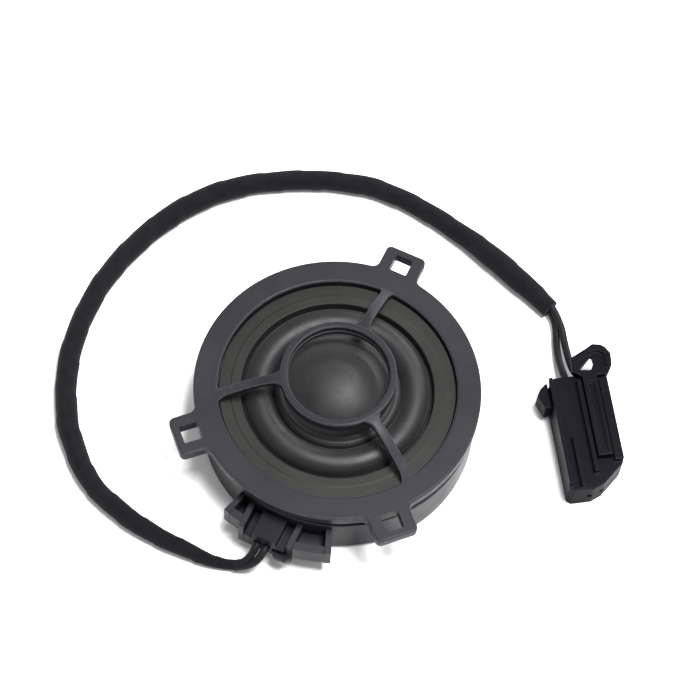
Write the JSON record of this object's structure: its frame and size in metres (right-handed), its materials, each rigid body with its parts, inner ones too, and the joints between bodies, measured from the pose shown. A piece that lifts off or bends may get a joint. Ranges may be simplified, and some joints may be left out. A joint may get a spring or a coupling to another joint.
{
  "type": "car tweeter",
  "caption": "Round eared tweeter with a soft dome behind an arched open grille, and a plug-in taped pigtail that ends in a latching connector.",
  "frame": {"origin": "centre of the flat back face, on the driver's axis", "axes": "+Z out of the dome, -Y towards the plug socket, +Y towards the lone ear"},
  "size_m": [0.1128, 0.0935, 0.02],
  "materials": {
    "shell_plastic": "fine satin grain",
    "frame_plastic": "satin",
    "dome_fabric": "coated soft dome cloth",
    "surround_fabric": "coated cloth",
    "felt": "felt and foam",
    "polyimide_former": "amber film",
    "copper": "enamelled copper",
    "plated_steel": "zinc plated",
    "neodymium": "nickel plated",
    "tinned_brass": "tinned",
    "capacitor_sleeve": "heat-shrink sleeve",
    "plug_plastic": "satin",
    "connector_plastic": "satin",
    "wire_insulation": "PVC insulation",
    "fleece_tape": "matte fleece wiring tape"
  },
  "bodies": {
    "base": {"front_grille": "shell_plastic", "grille_gasket": "felt", "diaphragm_frame": "frame_plastic", "surround": "surround_fabric", "tinsel_leads": "copper", "pole_plate": "plated_steel", "magnet": "neodymium", "yoke_cup": "plated_steel", "damping_pad": "felt", "rear_foam_pad": "felt", "rear_housing": "shell_plastic", "terminal_pins": "tinned_brass", "crossover_capacitor": "capacitor_sleeve", "capacitor_leads": "tinned_brass"},
    "diaphragm": {"dome": "dome_fabric", "voice_coil_former": "polyimide_former", "voice_coil_winding": "copper"},
    "harness": {"plug_body": "plug_plastic", "plug_contacts": "tinned_brass", "plug_wire_left": "wire_insulation", "plug_wire_right": "wire_insulation", "taped_loom": "fleece_tape", "connector_wire_left": "wire_insulation", "connector_wire_right": "wire_insulation", "connector_housing": "connector_plastic", "connector_contacts": "tinned_brass"},
    "plug_latch": {"plug_latch": "plug_plastic"},
    "connector_latch": {"connector_latch": "connector_plastic"},
    "connector_lock": {"connector_lock": "connector_plastic"}
  },
  "joints": [
    {"name": "diaphragm_travel", "type": "slide", "parent": "base", "child": "diaphragm", "axis": [0, 0, 1], "range_m": [-0.0004, 0.0004], "stiffness_N_per_m": 400, "deforming": ["surround"]},
    {"name": "plug_withdrawal", "type": "slide", "parent": "base", "child": "harness", "axis": [0, -1, 0], "range_m": [0, 0.007]},
    {"name": "plug_latch_flex", "type": "hinge", "parent": "harness", "child": "plug_latch", "pos_m": [0.003, -0.0289, 0.0047], "axis": [-1, 0, 0], "range_deg": [0, 6], "stiffness_Nm_per_rad": 0.02},
    {"name": "connector_latch_rock", "type": "hinge", "parent": "harness", "child": "connector_latch", "pos_m": [0.0457, 0.02235, 0.00675], "axis": [-0.8387, -0.5446, 0], "range_deg": [0, 2.5], "stiffness_Nm_per_rad": 0.05},
    {"name": "connector_lock_slide", "type": "slide", "parent": "harness", "child": "connector_lock", "axis": [-0.8387, -0.5446, 0], "range_m": [0, 0.0012]}
  ]
}
